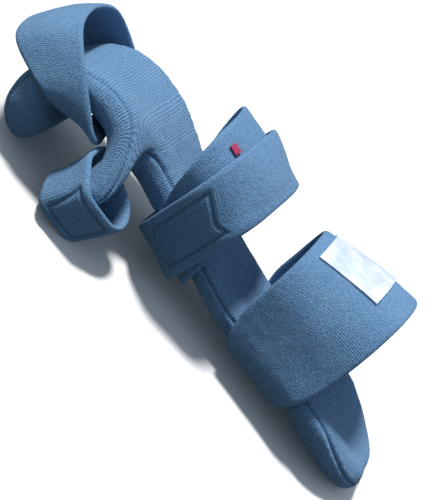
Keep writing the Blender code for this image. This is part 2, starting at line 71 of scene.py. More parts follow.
# The hollow that the straps go round: half widths and heights of ovals on top of the board
FOREARM_HALF_WIDTH = 35 * MM
FOREARM_HEIGHT = 67 * MM
WRIST_HALF_WIDTH = 28 * MM
WRIST_HEIGHT = 47 * MM
HAND_HALF_WIDTH = 38 * MM
HAND_HEIGHT = 33 * MM
FINGER_HALF_WIDTH = 36 * MM
FINGER_HEIGHT = 20 * MM
THUMB_WIDTH = 18 * MM
THUMB_HEIGHT = 16 * MM

# The straps. Places are distances from the elbow end along the board's middle line; a tilt leans
# the top of a strap towards the finger end, and a yaw turns its thumb side towards the elbow end.
# Shares are widths on top, at the sides and underneath, of the strap's width.
STRAP_THICK = 3.2 * MM
STRAP_GAP = 0.4 * MM
STRAP_SLACK = 1.0 * MM
UNDER_STRAP_SLACK = 0.3 * MM
FINGER_STRAP_SLACK = 1.0 * MM
STRAP_STRETCH = 6 * MM
FOREARM_STRAP_WIDTH = 50 * MM
FOREARM_STRAP_PLACE = 0.278 * BOARD_LENGTH
FOREARM_STRAP_TILT = math.radians(8)
FOREARM_STRAP_SHARES = (1.14, 1.10, 0.52)
HAND_STRAP_WIDTH = 31 * MM
UNDER_STRAP_SHARES = (1.0, 1.22, 1.05)
HAND_STRAP_PLACE = 0.545 * BOARD_LENGTH
OVER_STRAP_TILT = math.radians(9)
UNDER_STRAP_TILT = math.radians(27)
UNDER_STRAP_YAW = math.radians(4)
FINGER_STRAP_WIDTH = 40 * MM
FINGER_STRAP_PLACE = 0.853 * BOARD_LENGTH
FINGER_STRAP_HEADING = math.radians(-72)
FINGER_STRAP_FAN = math.radians(13)
FINGER_STRAP_SHARES = (0.98, 1.12, 0.60)
FINGER_STRAP_YAW = math.radians(2)
THUMB_STRAP_WIDTH = 29 * MM

# The label and the tab
LABEL_LENGTH = 36 * MM
LABEL_WRAP = 56 * MM
LABEL_SHIFT = -3 * MM
LABEL_THICK = 0.8 * MM
TAB_WIDTH = 5 * MM
TAB_REACH = 5 * MM
TAB_THICK = 1.0 * MM
TAB_PLACE = 0.115

# How far the cloth is pressed flat where the splint rests
REST_PRESS = 1.2 * MM

STRAP_STEPS = 40

SPINE_RUNS = (
    (FOREARM_RUN, 0.0),
    (WRIST_RUN, WRIST_RISE),
    (PALM_RUN, PALM_RISE),
    (KNUCKLE_RUN, KNUCKLE_DROP),
    (CURL_RUN, FINGER_CURL),
)

# Sections of the board. run and share say where on the middle line each lies; thumb and little are
# the half widths on the two sides and thick the thickness, as shares of the pad's; rim is the
# height of the edges above the middle, as a share of the trough's depth; rise is how far the
# section is pressed up by a strap, as a share of the pad's thickness.
Section = namedtuple("Section", "run share thumb little thick rim rise")
SECTIONS = (
    Section(0, 0.02, 0.30, 0.30, 0.60, 0.10, 0.00),
    Section(0, 0.18, 0.58, 0.62, 0.85, 0.38, 0.00),
    Section(0, 0.50, 0.84, 0.88, 0.92, 0.75, 0.00),
    Section(0, 0.90, 1.00, 1.00, 0.96, 1.00, 0.01),
    Section(1, 0.16, 0.88, 0.92, 0.64, 0.95, 0.17),
    Section(1, 0.62, 0.70, 0.86, 0.60, 0.82, 0.17),
    Section(1, 0.94, 0.58, 0.84, 0.88, 0.68, 0.02),
    Section(2, 0.16, 0.54, 0.84, 0.92, 0.52, 0.00),
    Section(2, 0.36, 0.48, 0.84, 0.84, 0.42, 0.00),
    Section(2, 0.66, 0.45, 0.88, 0.96, 0.35, -0.03),
    Section(2, 0.88, 0.58, 1.00, 1.05, 0.35, 0.00),
    Section(2, 0.98, 0.82, 1.02, 1.10, 0.40, 0.00),
    Section(3, 0.14, 1.04, 1.04, 1.10, 0.42, 0.00),
    Section(3, 0.62, 1.04, 1.04, 1.02, 0.44, 0.03),
    Section(4, 0.05, 1.00, 1.02, 0.96, 0.35, 0.08),
    Section(4, 0.38, 0.98, 0.98, 1.06, 0.25, 0.09),
    Section(4, 0.70, 0.94, 0.92, 1.30, 0.12, 0.03),
    Section(4, 0.95, 0.84, 0.82, 1.35, 0.05, 0.00),
    Section(4, 1.12, 0.60, 0.58, 0.90, 0.00, 0.00),
)
FLAP_ROOT = range(10, 13)
FLAP_NEAR_SIDE = (0.35, -0.84, -0.40)
COLUMNS = (-0.32, 0.32)
EDGE_INSET = 0.42


def spine_at(run, share):
    """Middle point, heading angle above -X, on the board's middle line."""
    x, z, angle = 0.0, PAD_THICK / 2, 0.0
    for index, (length, turn) in enumerate(SPINE_RUNS):
        part = share if index == run else 1.0
        go, swing = length * part, turn * part
        if abs(turn) < 1e-6:
            x -= go * math.cos(angle)
            z += go * math.sin(angle)
        else:
            radius = length / turn
            x -= radius * (math.sin(angle + swing) - math.sin(angle))
            z += radius * (math.cos(angle) - math.cos(angle + swing))
        angle += swing
        if index == run:
            break
    return Vector((x, 0, z)), angle


def spine_along(distance):
    for index, (length, _) in enumerate(SPINE_RUNS):
        if distance <= length or index == len(SPINE_RUNS) - 1:
            return spine_at(index, distance / length)
        distance -= length


def section_outline(row):
    """(sideways, upward) points round the board's section, from the thumb edge over the top."""
    thick = PAD_THICK * row.thick
    thumb, little = PAD_HALF_WIDTH * row.thumb, PAD_HALF_WIDTH * row.little
    bend = 2 * TROUGH_DEPTH * row.rim / (PAD_HALF_WIDTH**2) + 1e-6
    inset = EDGE_INSET * min(thick, 2 * PAD_THICK)
    grow = inset / 3
    sides = [-(thumb - inset + grow)]
    sides += [share * (thumb if share < 0 else little) for share in COLUMNS]
    sides += [little - inset + grow]
    rise = PAD_THICK * row.rise
    top = [(side, rise + thick / 2) for side in sides]
    bottom = [(side, rise - thick / 2) for side in reversed(sides)]
    flat = [(-thumb - grow, rise), *top, (little + grow, rise), *bottom]
    return [
        (
            math.sin(bend * side) / bend - up * math.sin(bend * side),
            (1 - math.cos(bend * side)) / bend + up * math.cos(bend * side),
        )
        for side, up in flat
    ]


def frame_point(middle, angle, sideways, upward):
    return middle + Vector(
        (upward * math.sin(angle), sideways, upward * math.cos(angle))
    )


def board_cage():
    """The board as rings of corners, with its two ends closed by strips of quads."""
    cage = bmesh.new()
    for name in ("across", "level", "run", "wide", "edge"):
        cage.verts.layers.float.new(name)
    rings = []
    for row in SECTIONS:
        middle, angle = spine_at(row.run, row.share)
        rings.append(
            [
                cage.verts.new(frame_point(middle, angle, *point))
                for point in section_outline(row)
            ]
        )
    count = len(rings[0])
    for near, far in zip(rings, rings[1:]):
        for i in range(count):
            j = (i + 1) % count
            cage.faces.new((near[i], near[j], far[j], far[i]))
    for ring, flip in ((rings[0], True), (rings[-1], False)):
        half = count // 2
        strips = [(ring[0], ring[1], ring[count - 1])]
        strips += [
            (ring[i], ring[i + 1], ring[count - i - 1], ring[count - i])
            for i in range(1, half - 1)
        ]
        strips += [(ring[half - 1], ring[half], ring[half + 1])]
        for corners in strips:
            cage.faces.new(corners[::-1] if flip else corners)
    return cage, rings


def add_flap(cage, rings):
    """Draws the thumb flap out of the edge faces of the wing, down and forward in a C."""
    root = [rings[i] for i in FLAP_ROOT]
    across = cage.verts.layers.float["across"]
    level = cage.verts.layers.float["level"]
    for place, ring in enumerate(root):
        share = 2 * place / (len(root) - 1) - 1
        for index, height in ((0, 0.0), (1, 1.0), (len(ring) - 1, -1.0)):
            ring[index][across] = share
            ring[index][level] = height
    patch = []
    for near, far in zip(root, root[1:]):
        for i, j in ((0, 1), (len(near) - 1, 0)):
            wanted = {near[i], near[j], far[i], far[j]}
            patch += [face for face in near[i].link_faces if set(face.verts) == wanted]
    middle = sum((v.co for face in patch for v in face.verts), Vector()) / (
        4 * len(patch)
    )
    steps = list(flap_steps(middle))
    for centre, hand_side, width, thick in steps:
        grown = bmesh.ops.extrude_face_region(cage, geom=patch)
        bmesh.ops.delete(cage, geom=patch, context="FACES")
        patch = [g for g in grown["geom"] if isinstance(g, bmesh.types.BMFace)]
        corners = {v for face in patch for v in face.verts}
        near_side = Vector(FLAP_NEAR_SIDE).normalized()
        hand_side = (hand_side - near_side * hand_side.dot(near_side)).normalized()
        for v in corners:
            v.co = (
                centre
                + near_side * (v[across] * width / 2)
                + hand_side * (v[level] * thick / 2)
            )
    return steps


def flap_steps(middle):
    """Centre, hand-side direction, width and thickness of each ring of the flap."""
    Step = namedtuple("Step", "back side down angle width thick")
    steps = (
        Step(0.04, 0.20, 0.20, 55, 1.20, 1.20),
        Step(0.10, 0.28, 0.42, 80, 1.05, 1.00),
        Step(0.00, 0.22, 0.68, 95, 1.00, 0.95),
        Step(-0.13, 0.16, 0.93, 100, 0.95, 0.90),
        Step(-0.17, 0.14, 1.02, 100, 0.55, 0.60),
    )
    for step in steps:
        centre = middle + FLAP_LENGTH * Vector((step.back, -step.side, -step.down))
        turn = math.radians(step.angle)
        hand_side = Vector((math.sin(turn), 0, math.cos(turn)))
        yield centre, hand_side, FLAP_WIDTH * step.width, FLAP_THICK * step.thick


OvalRow = namedtuple("OvalRow", "run share half_width height")
HOLLOW = (
    OvalRow(0, 0.00, 1.03 * FOREARM_HALF_WIDTH, 0.9 * FOREARM_HEIGHT),
    OvalRow(1, 0.30, FOREARM_HALF_WIDTH, FOREARM_HEIGHT),
    OvalRow(2, 0.10, WRIST_HALF_WIDTH, WRIST_HEIGHT),
    OvalRow(2, 0.50, 0.55 * (WRIST_HALF_WIDTH + HAND_HALF_WIDTH), 0.5 * (WRIST_HEIGHT + HAND_HEIGHT)),
    OvalRow(2, 0.95, HAND_HALF_WIDTH, HAND_HEIGHT),
    OvalRow(3, 0.60, HAND_HALF_WIDTH, 0.5 * (HAND_HEIGHT + FINGER_HEIGHT)),
    OvalRow(4, 0.10, FINGER_HALF_WIDTH, 1.10 * FINGER_HEIGHT),
    OvalRow(4, 0.30, FINGER_HALF_WIDTH, FINGER_HEIGHT),
    OvalRow(4, 0.50, 0.97 * FINGER_HALF_WIDTH, FINGER_HEIGHT),
    OvalRow(4, 0.70, 0.94 * FINGER_HALF_WIDTH, 0.9 * FINGER_HEIGHT),
    OvalRow(4, 0.90, 0.9 * FINGER_HALF_WIDTH, 0.9 * FINGER_HEIGHT),
)


def tube_mesh(rings):
    """A closed tube through rings of points."""
    tube = bmesh.new()
    loops = [[tube.verts.new(point) for point in ring] for ring in rings]
    count = len(loops[0])
    for near, far in zip(loops, loops[1:]):
        for i in range(count):
            j = (i + 1) % count
            tube.faces.new((near[i], near[j], far[j], far[i]))
    tube.faces.new(loops[0][::-1])
    tube.faces.new(loops[-1])
    bmesh.ops.recalc_face_normals(tube, faces=tube.faces)
    return tube


def oval(half_width, height):
    for i in range(24):
        turn = 2 * math.pi * i / 24
        yield half_width * math.cos(turn), height / 2 * math.sin(turn)


def hollow_solid():
    """The hollow over the board as one tube: a guide for the straps."""
    rings = []
    for row in HOLLOW:
        middle, angle = spine_at(row.run, row.share)
        lift = PAD_THICK / 2 + row.height / 2
        rings.append(
            [
                frame_point(middle, angle, side, lift + up)
                for side, up in oval(row.half_width, row.height)
            ]
        )
    return tube_mesh(rings)


def thumb_hollow_solid(steps):
    """The hollow along the upper side of the flap as one tube: a guide for the thumb strap."""
    rings = []
    for centre, hand_side, _, thick in steps:
        near_side = Vector(FLAP_NEAR_SIDE).normalized()
        hand_side = (hand_side - near_side * hand_side.dot(near_side)).normalized()
        lift = thick / 2 + THUMB_HEIGHT / 2
        rings.append(
            [
                centre + near_side * side + hand_side * (lift + up)
                for side, up in oval(THUMB_WIDTH / 2, THUMB_HEIGHT)
            ]
        )
    return tube_mesh(rings)


Plane = namedtuple("Plane", "point normal across up reach")


def slice_points(solids, plane, spread):
    """Points of the solids in and near a plane, as (across, up) pairs."""
    points = []
    for solid in solids:
        for shift in (-spread, -spread / 2, 0.0, spread / 2, spread):
            cut = solid.copy()
            place = plane.point + plane.normal * shift
            found = bmesh.ops.bisect_plane(
                cut,
                geom=cut.verts[:] + cut.edges[:] + cut.faces[:],
                plane_co=place,
                plane_no=plane.normal,
            )
            for item in found["geom_cut"]:
                if isinstance(item, bmesh.types.BMVert):
                    away = item.co - plane.point
                    pair = (away.dot(plane.across), away.dot(plane.up))
                    if abs(pair[0]) < plane.reach[0] and -plane.reach[1] < pair[1] < plane.reach[2]:
                        points.append(pair)
            cut.free()
    return np.array(points)


def wrap_loop(points, lift, count):
    """A taut loop round the points, at a distance from them, from the top towards the thumb side."""
    turns = math.pi / 2 + np.linspace(0, 2 * math.pi, 241)
    ways = np.stack([np.cos(turns), np.sin(turns)], axis=1)
    outer = points[np.argmax(points @ ways.T, axis=0)] + lift * ways
    start = int(np.argmax(outer[:-1, 1] - 0.02 * np.abs(outer[:-1, 0])))
    outer = np.concatenate([outer[start:-1], outer[: start + 1]])
    steps = np.linalg.norm(np.diff(outer, axis=0), axis=1)
    run = np.concatenate([[0.0], np.cumsum(steps)])
    even = np.linspace(0, run[-1], count, endpoint=False)
    return np.stack([np.interp(even, run, outer[:, i]) for i in (0, 1)], axis=1)


def relax(rails, times):
    """Evens out a (rail, step, axis) grid of points round the loop and between its rails."""
    for _ in range(times):
        rails = 0.5 * rails + 0.25 * (np.roll(rails, 1, axis=1) + np.roll(rails, -1, axis=1))
        middle = 0.5 * rails[2:-2] + 0.25 * (rails[1:-3] + rails[3:-1])
        rails[2:-2] = middle
    return rails


def in_space(plane, pairs):
    return np.array(
        [plane.point + plane.across * a + plane.up * b for a, b in pairs]
    )


RAIL_SHARES = (-1.0, -0.90, -0.36, 0.36, 0.90, 1.0)


def band_grid(solids, planes, lift, shares=(1.0, 1.0, 1.0)):
    """Points of a strap's inner face, rail by rail: an array of (rail, step, axis).

    The shares are the strap's widths on top, at its sides and underneath, of the planes' span.
    """
    spread = STRAP_STRETCH
    loops = []
    for plane in planes:
        points = slice_points(solids, plane, spread)
        loops.append(in_space(plane, wrap_loop(points, lift, STRAP_STEPS)))
    loops = relax(np.array(loops), 1)
    turns = 2 * math.pi * np.arange(STRAP_STEPS) / STRAP_STEPS
    top, side, under = shares
    ends = np.where(np.cos(turns) > 0, top, under)
    swell = side * np.sin(turns) ** 2 + ends * np.cos(turns) ** 2
    grid = np.empty_like(loops)
    for rail, share in enumerate(RAIL_SHARES):
        for step in range(STRAP_STEPS):
            for axis in range(3):
                grid[rail, step, axis] = beyond(
                    share * swell[step], RAIL_SHARES, loops[:, step, axis]
                )
    return grid


def beyond(place, places, values):
    """Linear interpolation that runs on past both ends."""
    index = min(max(int(np.searchsorted(places, place)), 1), len(places) - 1)
    left, right = places[index - 1], places[index]
    if index == 1 and place < left:
        left, right = places[0], places[2]
        return values[0] + (values[2] - values[0]) * (place - left) / (right - left)
    if index == len(places) - 1 and place > right:
        left, right = places[-3], places[-1]
        return values[-1] + (values[-1] - values[-3]) * (place - right) / (right - left)
    return values[index - 1] + (values[index] - values[index - 1]) * (place - left) / (right - left)


def outward(grid):
    """Unit normals of a (rail, step, axis) grid, away from the middle of the loop."""
    along = np.roll(grid, -1, axis=1) - np.roll(grid, 1, axis=1)
    over = np.gradient(grid, axis=0)
    normal = np.cross(along, over)
    normal /= np.linalg.norm(normal, axis=2, keepdims=True)
    middle = grid.mean(axis=(0, 1))
    flip = np.sign(np.sum(normal * (grid - middle), axis=2, keepdims=True).mean())
    return normal * flip


def band_solid(grid, thick):
    """A closed strap on an inner face: flat faces with half-round edges."""
    normal = outward(grid)
    last = len(RAIL_SHARES) - 1
    layers = []
    for i in range(1, last):
        layers.append(grid[i] + normal[i] * thick)
    layers.append(grid[last] + normal[last] * thick / 2)
    for i in range(last - 1, 0, -1):
        layers.append(grid[i])
    layers.append(grid[0] + normal[0] * thick / 2)
    solid = bmesh.new()
    rings = [[solid.verts.new(point) for point in layer] for layer in layers]
    for near, far in zip(rings, rings[1:] + rings[:1]):
        for i in range(len(near)):
            j = (i + 1) % len(near)
            solid.faces.new((near[i], near[j], far[j], far[i]))
    bmesh.ops.recalc_face_normals(solid, faces=solid.faces)
    return solid


def band_planes(place, width, tilt, reach, yaw=0.0):
    """Parallel planes across the board at the rails of a strap."""
    _, angle = spine_along(place)
    planes = []
    for share in RAIL_SHARES:
        middle, _ = spine_along(place + share * width / 2)
        planes.append(cross_plane(middle, angle - tilt, reach, yaw))
    return planes


def fan_planes(place, width, heading, fan, reach, yaw):
    """Planes that spread like a fan from under the board, for a strap on the bent fingers."""
    span = width - 2 * math.sin(fan) * (PAD_THICK / 2 + FINGER_HEIGHT + STRAP_THICK)
    planes = []
    for share in RAIL_SHARES:
        middle, _ = spine_along(place + share * span / 2)
        planes.append(cross_plane(middle, heading - fan * share, reach, yaw))
    return planes


def cross_plane(middle, angle, reach, yaw=0.0):
    """A plane across the board, whose thumb side is turned towards the elbow by the yaw."""
    forward = Vector((-math.cos(angle), 0, math.sin(angle)))
    up = Vector((math.sin(angle), 0, math.cos(angle)))
    side = Vector((0, 1, 0))
    normal = forward * math.cos(yaw) - side * math.sin(yaw)
    across = side * math.cos(yaw) + forward * math.sin(yaw)
    return Plane(middle, normal, across, up, reach)


def thumb_planes(steps):
    centres = [Vector(step[0]) for step in steps]
    axis = (centres[3] - centres[1]).normalized()
    hand_side = (steps[2][1] - axis * steps[2][1].dot(axis)).normalized()
    middle = (centres[1] + centres[3]) / 2
    across = hand_side.cross(axis).normalized()
    return [
        Plane(
            middle + axis * (share * THUMB_STRAP_WIDTH / 2),
            axis,
            across,
            hand_side,
            (0.8 * FLAP_WIDTH, FLAP_THICK, FLAP_THICK + 1.4 * THUMB_HEIGHT),
        )
        for share in RAIL_SHARES
    ]


def solid_copy(mesh):
    copy = bmesh.new()
    copy.from_mesh(mesh)
    return copy


# Where the resting splint lies: the turn from the level frame, and its shift
REST_TURN = Matrix(
    (
        (0.999836028, -0.001191192, 0.018070757),
        (-0.001191192, 0.991347909, 0.131255329),
        (-0.018070757, -0.131255329, 0.991183877),
    )
)
REST_SHIFT = Vector((0.141640180, 0.000604225, -0.002784018))


def settled(points):
    """Points of the level frame as they lie at rest, an array of (..., 3)."""
    turn = np.array(REST_TURN)
    placed = points @ turn.T + np.array(REST_SHIFT)
    placed[..., 2] = np.maximum(placed[..., 2], 0.0)
    return placed


def lumps(points, size, seed):
    """Smooth noise between -1 and 1 at each point, with lumps of about the size."""
    shift = Vector((seed * 7.1, seed * 3.7, seed * 5.3))
    return np.array([noise.noise(Vector(p) / size + shift) for p in points])


def add_piece(name, points, faces, knit, material, nodes):
    """A mesh piece that stands for the nodes. knit has one (run, across, seam) per face corner."""
    mesh = bpy.data.meshes.new(name)
    mesh.from_pydata([tuple(p) for p in points], [], faces)
    layer = mesh.attributes.new("knit", "FLOAT_VECTOR", "CORNER")
    layer.data.foreach_set("vector", np.asarray(knit, dtype=np.float32).ravel())
    mesh.materials.append(material)
    mesh.shade_smooth()
    piece = bpy.data.objects.new(name, mesh)
    bpy.context.scene.collection.objects.link(piece)
    if nodes:
        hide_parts(*nodes)
    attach(piece, "root")
    return piece


# Materials


class Nodes:
    """Short calls for a node tree."""

    def __init__(self, name):
        self.material = bpy.data.materials.new(name)
        self.material.use_nodes = True
        self.tree = self.material.node_tree
        self.shader = self.tree.nodes["Principled BSDF"]

    def link(self, value, socket):
        if isinstance(value, bpy.types.NodeSocket):
            self.tree.links.new(value, socket)
        else:
            socket.default_value = value

    def math(self, operation, a, b=0.0, c=0.0):
        node = self.tree.nodes.new("ShaderNodeMath")
        node.operation = operation
        for value, socket in zip((a, b, c), node.inputs):
            self.link(value, socket)
        return node.outputs[0]

    def noise(self, vector, scale, detail=2.0, rough=0.5):
        node = self.tree.nodes.new("ShaderNodeTexNoise")
        self.link(vector, node.inputs["Vector"])
        node.inputs["Scale"].default_value = scale
        node.inputs["Detail"].default_value = detail
        node.inputs["Roughness"].default_value = rough
        return node.outputs["Fac"]

    def ramp(self, value, low, high, start=0.0, end=1.0):
        node = self.tree.nodes.new("ShaderNodeMapRange")
        self.link(value, node.inputs["Value"])
        node.inputs["From Min"].default_value = low
        node.inputs["From Max"].default_value = high
        node.inputs["To Min"].default_value = start
        node.inputs["To Max"].default_value = end
        return node.outputs["Result"]

    def mix(self, factor, first, second):
        node = self.tree.nodes.new("ShaderNodeMix")
        node.data_type = "RGBA"
        self.link(factor, node.inputs[0])
        self.link(first, node.inputs[6])
        self.link(second, node.inputs[7])
        return node.outputs[2]

    def bump(self, height, strength, distance, normal=None):
        node = self.tree.nodes.new("ShaderNodeBump")
        node.inputs["Strength"].default_value = strength
        node.inputs["Distance"].default_value = distance
        self.link(height, node.inputs["Height"])
        if normal is not None:
            self.link(normal, node.inputs["Normal"])
        return node.outputs["Normal"]

    def place(self):
        return self.tree.nodes.new("ShaderNodeTexCoord").outputs["Object"]

    def knit(self):
        node = self.tree.nodes.new("ShaderNodeAttribute")
        node.attribute_name = "knit"
        split = self.tree.nodes.new("ShaderNodeSeparateXYZ")
        self.link(node.outputs["Vector"], split.inputs[0])
        return split.outputs


DEEP_BLUE = (0.050, 0.125, 0.225, 1.0)
MID_BLUE = (0.115, 0.245, 0.430, 1.0)
PALE_BLUE = (0.245, 0.420, 0.640, 1.0)


def terry(name, wale, ribs):
    """Knitted fleece: wales across the piece, loops along them, and a heather of paler yarn. Its colour
    also has painted shade in the grooves of the knit and painted highlight on its ridges.
    """
    tree = Nodes(name)
    place = tree.place()
    run, across, seam = tree.knit()
    wander = tree.noise(place, 90.0, 2.0)
    shift = tree.math("MULTIPLY_ADD", wander, 1.1 * MM, run)
    wave = tree.math("SINE", tree.math("MULTIPLY", shift, 2 * math.pi / wale))
    loops = tree.math("SINE", tree.math("MULTIPLY", across, 2 * math.pi / (0.8 * wale)))
    fluff = tree.noise(place, 1100.0, 3.0, 0.65)
    patches = tree.noise(place, 160.0, 3.0, 0.6)
    soft = tree.noise(place, 28.0, 2.0)
    weight = tree.ramp(patches, 0.35, 0.65, 0.35 * ribs, ribs)
    height = tree.math("MULTIPLY", wave, weight)
    height = tree.math("MULTIPLY_ADD", loops, 0.18, height)
    height = tree.math("MULTIPLY_ADD", tree.ramp(fluff, 0.25, 0.75, -1.0, 1.0), 0.9, height)
    # Colour from the knit's relief height: painted shade, deep blue, in the grooves between wales and
    # loops, and painted highlight, pale blue, on their ridges.
    painted_relief_shade = tree.ramp(height, -1.4, 1.4)
    colour = tree.mix(tree.ramp(painted_relief_shade, 0.05, 0.55), DEEP_BLUE, MID_BLUE)
    colour = tree.mix(tree.ramp(painted_relief_shade, 0.50, 1.0), colour, PALE_BLUE)
    colour = tree.mix(tree.ramp(soft, 0.35, 0.70, 0.0, 0.18), colour, PALE_BLUE)
    flecks = tree.noise(place, 620.0, 2.0, 0.7)
    colour = tree.mix(tree.ramp(flecks, 0.56, 0.74, 0.0, 0.45), colour, PALE_BLUE)
    colour = tree.mix(tree.math("MULTIPLY", seam, 0.75), colour, DEEP_BLUE)
    tree.link(colour, tree.shader.inputs["Base Color"])
    bump = tree.bump(height, 0.75, 0.35 * MM)
    tree.link(bump, tree.shader.inputs["Normal"])
    tree.shader.inputs["Roughness"].default_value = 0.95
    tree.shader.inputs["Specular IOR Level"].default_value = 0.15
    tree.shader.inputs["Sheen Weight"].default_value = 0.25
    tree.shader.inputs["Sheen Roughness"].default_value = 0.5
    tree.shader.inputs["Sheen Tint"].default_value = (0.55, 0.72, 0.95, 1.0)
    return tree.material


def satin():
    """Woven satin of a bare label, with fine threads, and painted sheen and painted shade of soft pulls
    in its colour.
    """
    tree = Nodes("label_satin_weave")
    place = tree.place()
    run, across, seam = tree.knit()
    threads = tree.math("SINE", tree.math("MULTIPLY", across, 2 * math.pi / (0.35 * MM)))
    painted_sheen_shade = tree.noise(place, 90.0, 3.0, 0.6)
    fine = tree.noise(place, 900.0, 2.0)
    # Lilac-to-white gradients over the soft pulls are painted sheen and painted shade in the label's
    # colour.
    colour = tree.mix(tree.ramp(painted_sheen_shade, 0.3, 0.7), (0.36, 0.45, 0.90, 1.0), (0.74, 0.80, 0.96, 1.0))
    colour = tree.mix(tree.math("MULTIPLY", seam, 0.8), colour, (0.86, 0.90, 0.97, 1.0))
    colour = tree.mix(tree.ramp(fine, 0.3, 0.7, 0.0, 0.15), colour, (0.9, 0.92, 1.0, 1.0))
    tree.link(colour, tree.shader.inputs["Base Color"])
    height = tree.math("MULTIPLY_ADD", threads, 0.2, fine)
    tree.link(tree.bump(height, 0.25, 0.15 * MM), tree.shader.inputs["Normal"])
    tree.shader.inputs["Roughness"].default_value = 0.38
    tree.shader.inputs["Anisotropic"].default_value = 0.4
    tree.shader.inputs["Sheen Weight"].default_value = 0.2
    return tree.material


def ribbon():
    """Dark red woven tab."""
    tree = Nodes("tag_red_weave")
    place = tree.place()
    fine = tree.noise(place, 1500.0, 2.0)
    colour = tree.mix(tree.ramp(fine, 0.3, 0.7), (0.20, 0.01, 0.05, 1.0), (0.50, 0.04, 0.12, 1.0))
    tree.link(colour, tree.shader.inputs["Base Color"])
    tree.link(tree.bump(fine, 0.5, 0.2 * MM), tree.shader.inputs["Normal"])
    tree.shader.inputs["Roughness"].default_value = 0.7
    return tree.material


def thread():
    """Sewing thread, a little darker than the knit."""
    tree = Nodes("terry_blue_thread")
    fine = tree.noise(tree.place(), 2500.0, 1.0)
    colour = tree.mix(fine, (0.03, 0.08, 0.14, 1.0), (0.09, 0.18, 0.30, 1.0))
    tree.link(colour, tree.shader.inputs["Base Color"])
    tree.shader.inputs["Roughness"].default_value = 0.6
    return tree.material


# The padded board

BOARD_LEVELS = 4
SEAM_SPAN = 12 * MM
SEAM_DEEP = 1.1 * MM
SEAM_WIDE = 0.9 * MM
# Along the wing the seam climbs to the palm side, as a share of the edge's height
WING_SEAM = 0.62
WING_START = 0.52 * BOARD_LENGTH
WING_FULL = 0.60 * BOARD_LENGTH


def board_piece(material):
    cage, rings = board_cage()
    layers = {name: cage.verts.layers.float[name] for name in ("run", "wide", "edge")}
    distance, last, half = 0.0, None, len(rings[0]) // 2
    for row, ring in zip(SECTIONS, rings):
        middle, _ = spine_at(row.run, row.share)
        distance += (middle - last).length if last is not None else 0.0
        last = middle
        for index, corner in enumerate(ring):
            corner[layers["run"]] = distance
            corner[layers["wide"]] = corner.co.y
            side = 1.0 if index < half else -1.0
            corner[layers["edge"]] = 0.0 if index in (0, half) else side
    old = set(cage.verts)
    root = rings[FLAP_ROOT[1]][0]
    root_run, root_place = root[layers["run"]], root.co.copy()
    steps = add_flap(cage, rings)
    across, level = cage.verts.layers.float["across"], cage.verts.layers.float["level"]
    for corner in cage.verts:
        if corner not in old:
            nearest = min(steps, key=lambda step: (corner.co - step[0]).length)
            corner[layers["run"]] = root_run + (nearest[0] - root_place).length
            corner[layers["wide"]] = corner[across] * FLAP_WIDTH / 2
            corner[layers["edge"]] = corner[level]
    bmesh.ops.delete(cage, geom=[v for v in cage.verts if not v.link_faces], context="VERTS")
    bmesh.ops.recalc_face_normals(cage, faces=cage.faces)
    mesh = bpy.data.meshes.new("board_cage")
    cage.to_mesh(mesh)
    cage.free()
    guide = bpy.data.objects.new("board_cage", mesh)
    bpy.context.scene.collection.objects.link(guide)
    rounding = guide.modifiers.new("rounding", "SUBSURF")
    rounding.levels = rounding.render_levels = BOARD_LEVELS
    graph = bpy.context.evaluated_depsgraph_get()
    fine = bpy.data.meshes.new_from_object(guide.evaluated_get(graph))
    bpy.data.objects.remove(guide)
    count = len(fine.vertices)
    points = np.empty(3 * count)
    fine.vertices.foreach_get("co", points)
    points = points.reshape(-1, 3)
    normals = np.empty(3 * count)
    fine.vertices.foreach_get("normal", normals)
    normals = normals.reshape(-1, 3)
    values = {}
    for name in ("run", "wide", "edge"):
        held = np.empty(count)
        fine.attributes[name].data.foreach_get("value", held)
        values[name] = held
    wing = np.clip((values["run"] - WING_START) / (WING_FULL - WING_START), 0, 1)
    seam = np.abs(values["edge"] - WING_SEAM * wing * wing * (3 - 2 * wing)) * SEAM_SPAN
    groove = np.exp(-((seam / SEAM_WIDE) ** 2))
    pucker = np.sin(2 * math.pi * values["run"] / (5.5 * MM) + 2.5 * lumps(points, 9 * MM, 3))
    near = np.exp(-((seam / (4.0 * MM)) ** 2))
    puff = np.exp(-(((seam - 3.0 * MM) / (1.6 * MM)) ** 2))
    lift = -SEAM_DEEP * groove + 0.30 * MM * puff + 0.16 * MM * pucker * near * (1 - groove)
    lift += 0.55 * MM * lumps(points, 22 * MM, 1) + 0.25 * MM * lumps(points, 8 * MM, 2)
    points = settled(points + normals * lift[:, None])
    faces = [tuple(face.vertices) for face in fine.polygons]
    corners = [i for face in faces for i in face]
    knit = np.stack([values["run"], values["wide"], np.exp(-((seam / (0.6 * MM)) ** 2))], axis=1)
    bpy.data.meshes.remove(fine)
    piece = add_piece(
        "board_cover", points, faces, knit[corners], material, ["padded_board"]
    )
    return steps


# The straps

STRAP_FINE = 480
EDGE_ROLL = 2.4 * MM
OUTER_STEPS = 44
INNER_STEPS = 12
EDGE_STEPS = 6


def cubic_ring(values, count):
    """Smooth resampling of a closed ring of values, (rail, step, axis), to count steps."""
    size = values.shape[1]
    place = np.arange(count) * size / count
    low = np.floor(place).astype(int)
    part = (place - low)[None, :, None]
    a, b, c, d = (values[:, (low + k) % size] for k in (-1, 0, 1, 2))
    return b + 0.5 * part * (
        (c - a) + part * ((2 * a - 5 * b + 4 * c - d) + part * (3 * (b - c) + d - a))
    )


def fine_grid(grid, count, rails):
    """The strap's inner face on an even grid of rails from -1 to 1 and steps round the loop."""
    ring = cubic_ring(grid, count)
    shares = np.linspace(-1, 1, rails)
    even = np.empty((rails, count, 3))
    for step in range(count):
        for axis in range(3):
            even[:, step, axis] = np.interp(shares, RAIL_SHARES, ring[:, step, axis])
    for _ in range(6):
        even[1:-1] = 0.5 * even[1:-1] + 0.25 * (even[:-2] + even[2:])
    return even


